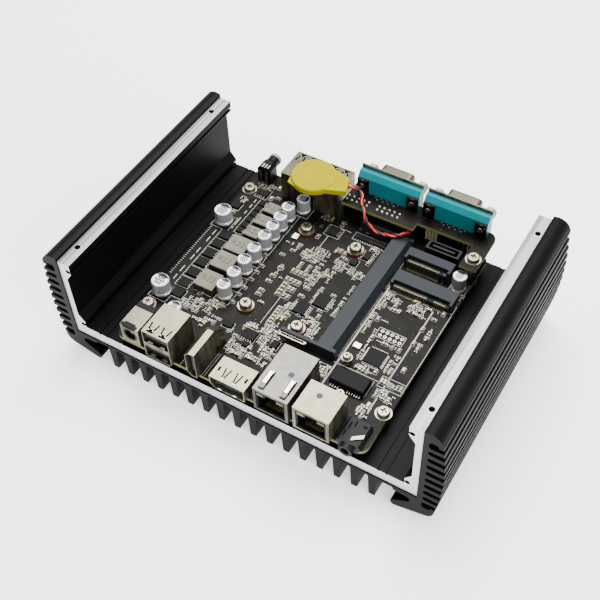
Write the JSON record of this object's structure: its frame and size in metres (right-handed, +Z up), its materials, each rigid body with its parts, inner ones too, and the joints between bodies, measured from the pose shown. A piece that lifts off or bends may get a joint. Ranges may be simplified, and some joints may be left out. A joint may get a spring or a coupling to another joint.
{
  "type": "fanless industrial mini computer",
  "caption": "Open fanless industrial mini computer: finned black aluminium case with its main board, port sockets, raised serial board and coin cell; cover and end panels are off.",
  "frame": {"origin": "under the middle fin, halfway along the case, on the plane of the fin tips", "axes": "+X across the case towards the two network ports' side, +Y along the fins from the front ports to the rear, +Z up out of the open side"},
  "size_m": [0.1856, 0.13, 0.061],
  "materials": {
    "black_anodised": "black anodised, satin, with bare machined seats",
    "bare_aluminium": "satin",
    "board_laminate": "black solder mask with light print",
    "plated_steel": "tin plated, satin",
    "screw_steel": "nickel plated",
    "plated_brass": "gold and nickel plated",
    "dark_steel": "dark plated",
    "fibre": "red vulcanised fibre",
    "black_plastic": "moulded",
    "slate_plastic": "moulded",
    "teal_plastic": "moulded",
    "white_plastic": "moulded",
    "package_black": "epoxy moulding",
    "pressed_ferrite": "pressed powder",
    "green_substrate": "laminate",
    "soft_pad": "soft silicone",
    "yellow_sleeve": "shrunk sleeve, smooth",
    "lead_sheath": "twisted red and black insulation"
  },
  "bodies": {
    "case": {"chassis": "black_anodised", "heat_block": "bare_aluminium", "capacitor_cans": "bare_aluminium", "main_board": "board_laminate", "serial_board": "board_laminate", "power_inlet_shield": "plated_steel", "usb_front_shield": "plated_steel", "usb_rear_shields": "plated_steel", "video_port_shell": "plated_steel", "display_port_shell": "plated_steel", "lan_a_shield": "plated_steel", "lan_b_shield": "plated_steel", "serial_shells": "plated_steel", "crystals": "plated_steel", "audio_spring": "plated_steel", "board_screws": "screw_steel", "cpu_screws": "screw_steel", "screw_washers": "screw_steel", "serial_screw": "screw_steel", "small_screws": "screw_steel", "jack_posts": "screw_steel", "board_standoffs": "plated_brass", "serial_standoff": "plated_brass", "card_spacer": "plated_brass", "lan_contacts": "plated_brass", "serial_pins": "plated_brass", "pin_strip_pins": "plated_brass", "power_inlet_pin": "plated_brass", "transformer_legs": "plated_brass", "serial_brackets": "dark_steel", "power_button_bracket": "dark_steel", "fibre_washers": "fibre", "power_inlet_body": "black_plastic", "video_port_insert": "black_plastic", "display_port_insert": "black_plastic", "lan_a_housing": "black_plastic", "lan_b_housing": "black_plastic", "audio_socket": "black_plastic", "power_button_body": "black_plastic", "link_sockets": "black_plastic", "disk_socket": "black_plastic", "usb_front_insert": "slate_plastic", "usb_rear_inserts": "slate_plastic", "memory_socket": "slate_plastic", "m2_socket": "slate_plastic", "mini_pcie_socket": "slate_plastic", "serial_housings": "teal_plastic", "battery_header": "white_plastic", "capacitor_bases": "white_plastic", "chips": "package_black", "mosfets": "package_black", "lan_transformer": "package_black", "inductors": "pressed_ferrite", "processor": "green_substrate", "thermal_pad": "soft_pad", "coin_cell": "yellow_sleeve", "battery_lead": "lead_sheath"},
    "power_button": {"power_button_cap": "white_plastic"},
    "latch_front": {"memory_latch_front": "plated_steel"},
    "latch_rear": {"memory_latch_rear": "plated_steel"}
  },
  "joints": [
    {"name": "power_button_press", "type": "slide", "parent": "case", "child": "power_button", "axis": [0, -1, 0], "range_m": [0, 0.0005], "stiffness_N_per_m": 600, "springref_m": -0.0005},
    {"name": "latch_front_open", "type": "hinge", "parent": "case", "child": "latch_front", "pos_m": [0.0145, -0.0279, 0.0277], "axis": [0, 0, 1], "range_deg": [0, 3], "stiffness_Nm_per_rad": 0.2},
    {"name": "latch_rear_open", "type": "hinge", "parent": "case", "child": "latch_rear", "pos_m": [0.0145, 0.0469, 0.0277], "axis": [0, 0, -1], "range_deg": [0, 3], "stiffness_Nm_per_rad": 0.2}
  ]
}
